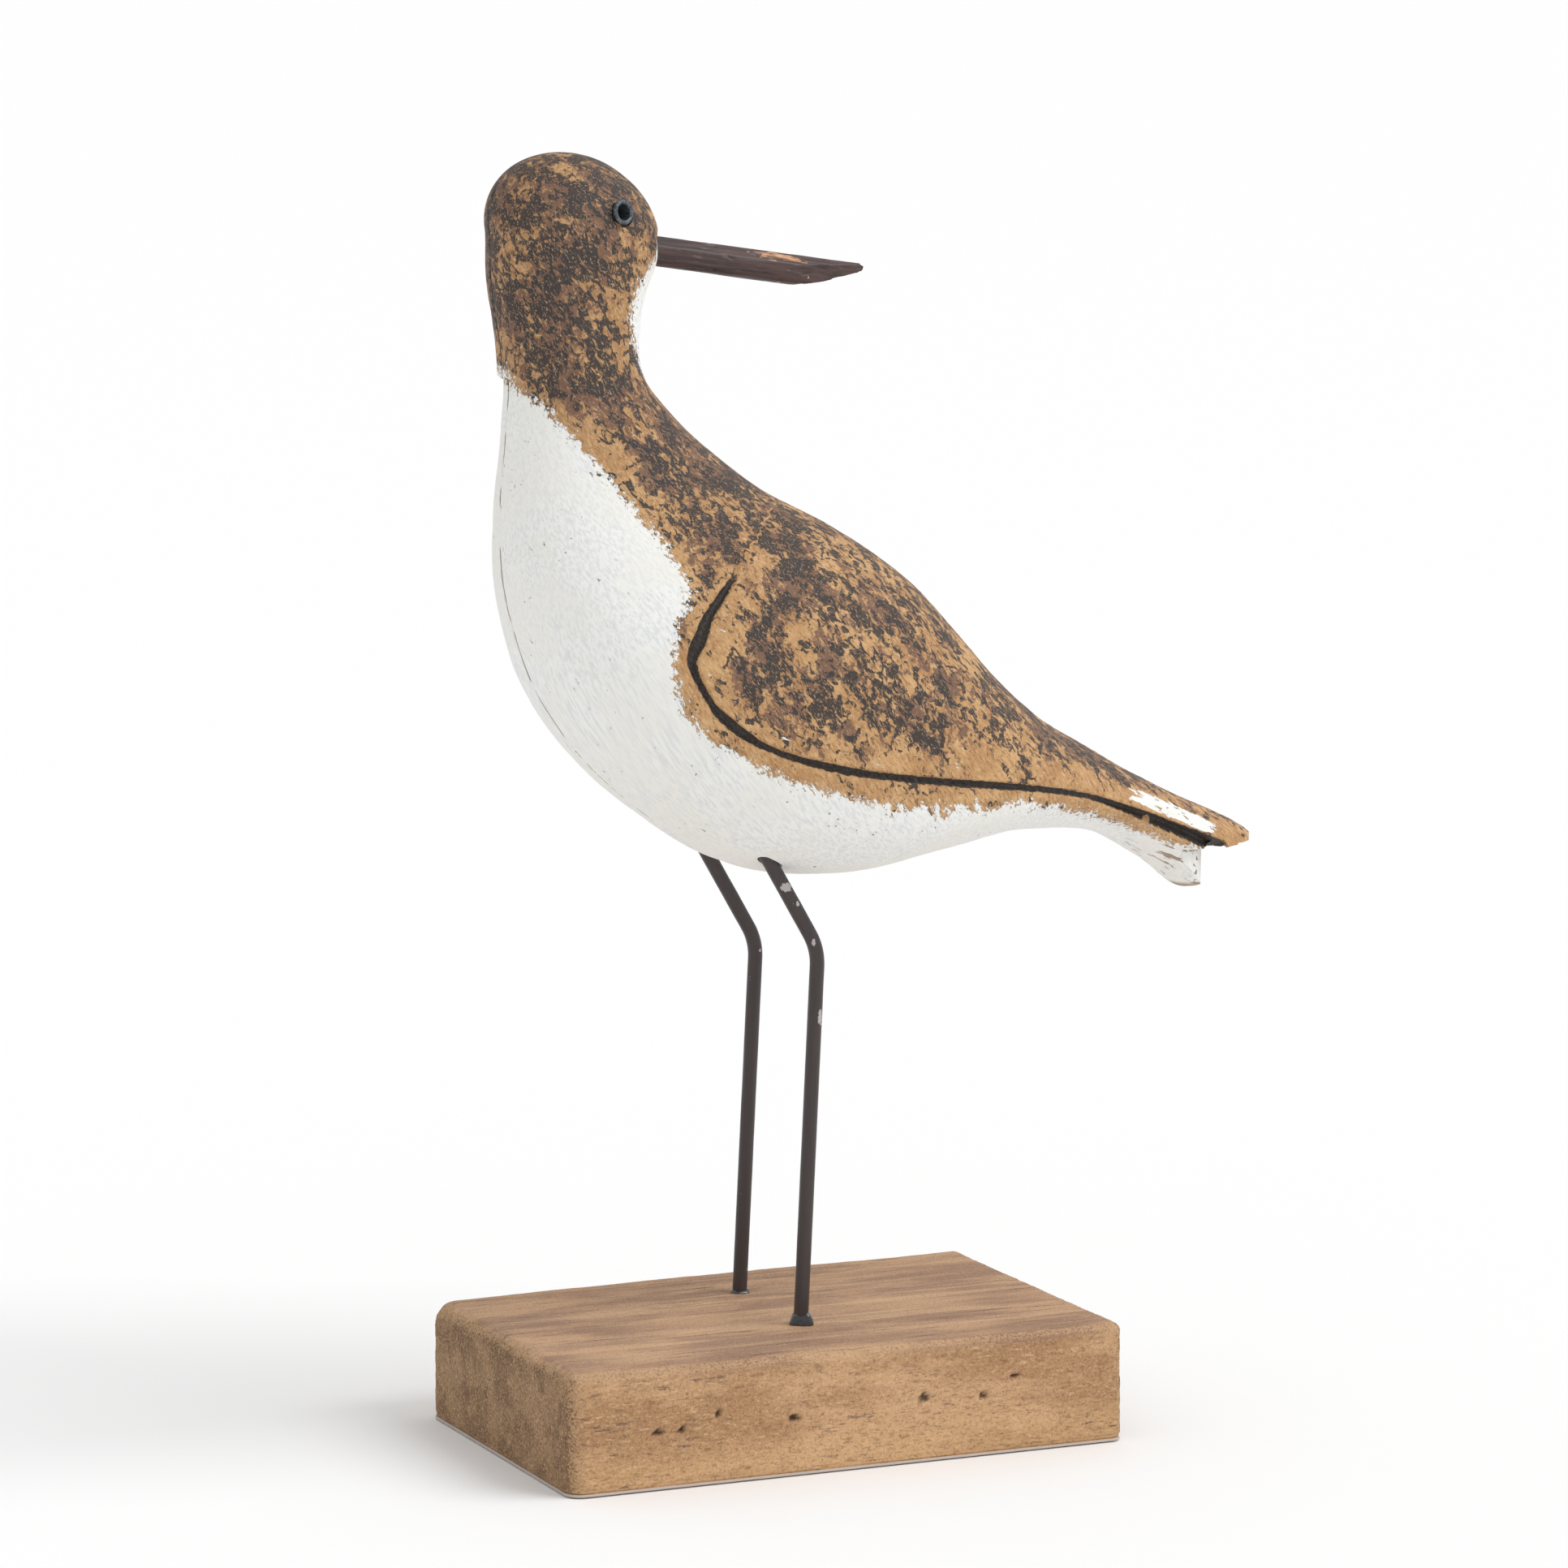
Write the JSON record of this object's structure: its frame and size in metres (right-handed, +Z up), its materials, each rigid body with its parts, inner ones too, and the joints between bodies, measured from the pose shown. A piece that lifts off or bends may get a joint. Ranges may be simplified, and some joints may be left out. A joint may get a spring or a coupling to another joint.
{
  "type": "wooden shorebird figurine",
  "caption": "Carved and painted wooden wading bird with its head turned back, a dowel beak and eyelet eyes, standing on bent wire legs set in a sawn wooden block.",
  "frame": {"origin": "centre of the wooden block's underside", "axes": "+Z up, +X along the block from the bird's breast towards its tail, +Y to the bird's right"},
  "size_m": [0.1676, 0.0774, 0.2578],
  "materials": {
    "block_wood": "sawn and oiled, dark grain streaks, worn edges",
    "black_wire": "satin brown-black with light scratches",
    "painted_wood": "matt ochre paint stippled brown and black, off-white brushed belly",
    "stained_beak": "dark purple-brown stain, worn on the edges",
    "eyelet_metal": "dull grey, rolled rim"
  },
  "bodies": {
    "root": {"base_block": "block_wood", "left_leg": "black_wire", "right_leg": "black_wire", "bird_body": "painted_wood", "beak": "stained_beak", "left_eyelet": "eyelet_metal", "right_eyelet": "eyelet_metal"}
  },
  "joints": []
}
